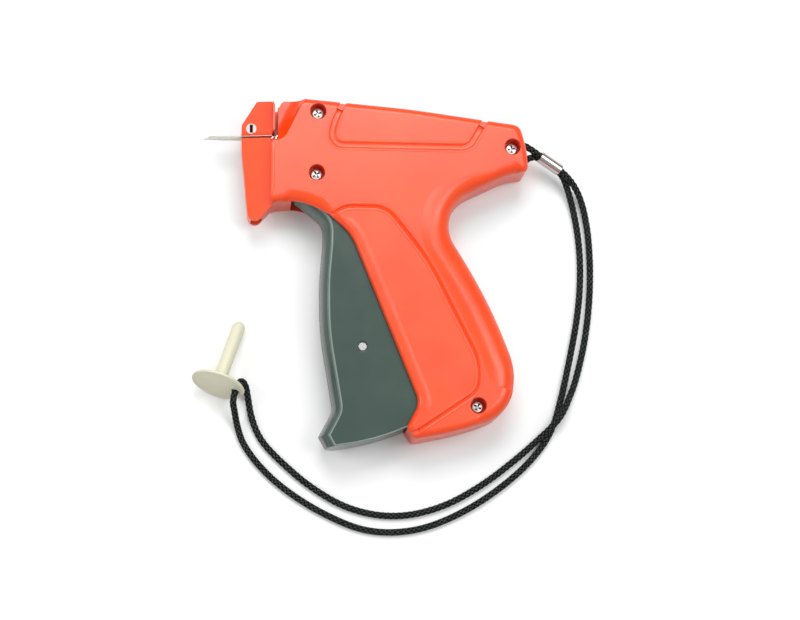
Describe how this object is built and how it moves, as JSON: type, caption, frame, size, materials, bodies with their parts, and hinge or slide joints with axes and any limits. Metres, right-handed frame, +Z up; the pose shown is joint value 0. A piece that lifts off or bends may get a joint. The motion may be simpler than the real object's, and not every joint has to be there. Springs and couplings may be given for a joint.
{
  "type": "garment tag attacher",
  "caption": "Pistol-grip garment tag attacher lying on its side, with hollow needle, squeeze trigger, lanyard cord and needle cover.",
  "frame": {"origin": "on the floor under the trigger pivot, in the flat side that the tool lies on", "axes": "+X from the needle to the rear of the barrel, +Y from the grip up to the barrel, +Z up through the thickness of the tool"},
  "size_m": [0.174, 0.1852, 0.028],
  "materials": {
    "housing": "fine satin moulded plastic, orange-red",
    "trigger_plastic": "satin moulded plastic, green-grey",
    "inner_plastic": "plain moulded plastic",
    "needle_steel": "bright steel",
    "pin_steel": "plain steel",
    "screw_steel": "zinc plated steel",
    "cord": "black braided cord",
    "crimp": "plain pressed metal",
    "cover_plastic": "satin cream plastic"
  },
  "bodies": {
    "frame": {"left_housing": "housing", "right_housing": "housing", "nose_cap": "housing", "housing_screws": "screw_steel", "needle": "needle_steel", "needle_base": "needle_steel", "cutter_blade": "needle_steel", "trigger_pivot_pin": "pin_steel", "lever_pivot_pin": "pin_steel", "return_spring": "pin_steel", "feed_shaft": "pin_steel", "check_spring": "pin_steel", "lanyard_cord": "cord", "cord_crimp": "crimp", "needle_cover": "cover_plastic"},
    "trigger": {"trigger": "trigger_plastic", "drive_pin": "pin_steel"},
    "drive_lever": {"drive_lever": "inner_plastic", "slide_pin": "pin_steel"},
    "slide": {"slide": "inner_plastic", "ejector_rod": "pin_steel"},
    "feed_wheel": {"feed_wheel": "inner_plastic"},
    "needle_lock": {"needle_lock": "pin_steel"}
  },
  "joints": [
    {"name": "trigger_pivot", "type": "hinge", "parent": "frame", "child": "trigger", "pos_m": [0, 0, 0.014], "axis": [0, 0, 1], "range_deg": [0, 17], "stiffness_Nm_per_rad": 2, "springref_deg": -14.32},
    {"name": "lever_pivot", "type": "hinge", "parent": "frame", "child": "drive_lever", "pos_m": [0.047, -0.029, 0.014], "axis": [0, 0, 1], "range_deg": [0, 38.7], "deforming": ["return_spring"]},
    {"name": "slide_travel", "type": "slide", "parent": "frame", "child": "slide", "axis": [-1, 0, 0], "range_m": [0, 0.0341]},
    {"name": "feed_wheel_spin", "type": "hinge", "parent": "frame", "child": "feed_wheel", "pos_m": [-0.0104, 0.014, 0.0077], "axis": [1, 0, 0], "continuous": true},
    {"name": "needle_lock_turn", "type": "hinge", "parent": "frame", "child": "needle_lock", "pos_m": [-0.0234, 0.0274, 0.014], "axis": [0, 0, 1], "range_deg": [0, 90]}
  ],
  "couplings": [
    {"joint": "lever_pivot", "follows": "trigger_pivot", "ratio": 2.2722},
    {"joint": "slide_travel", "follows": "trigger_pivot", "m_per_rad": 0.11459}
  ]
}
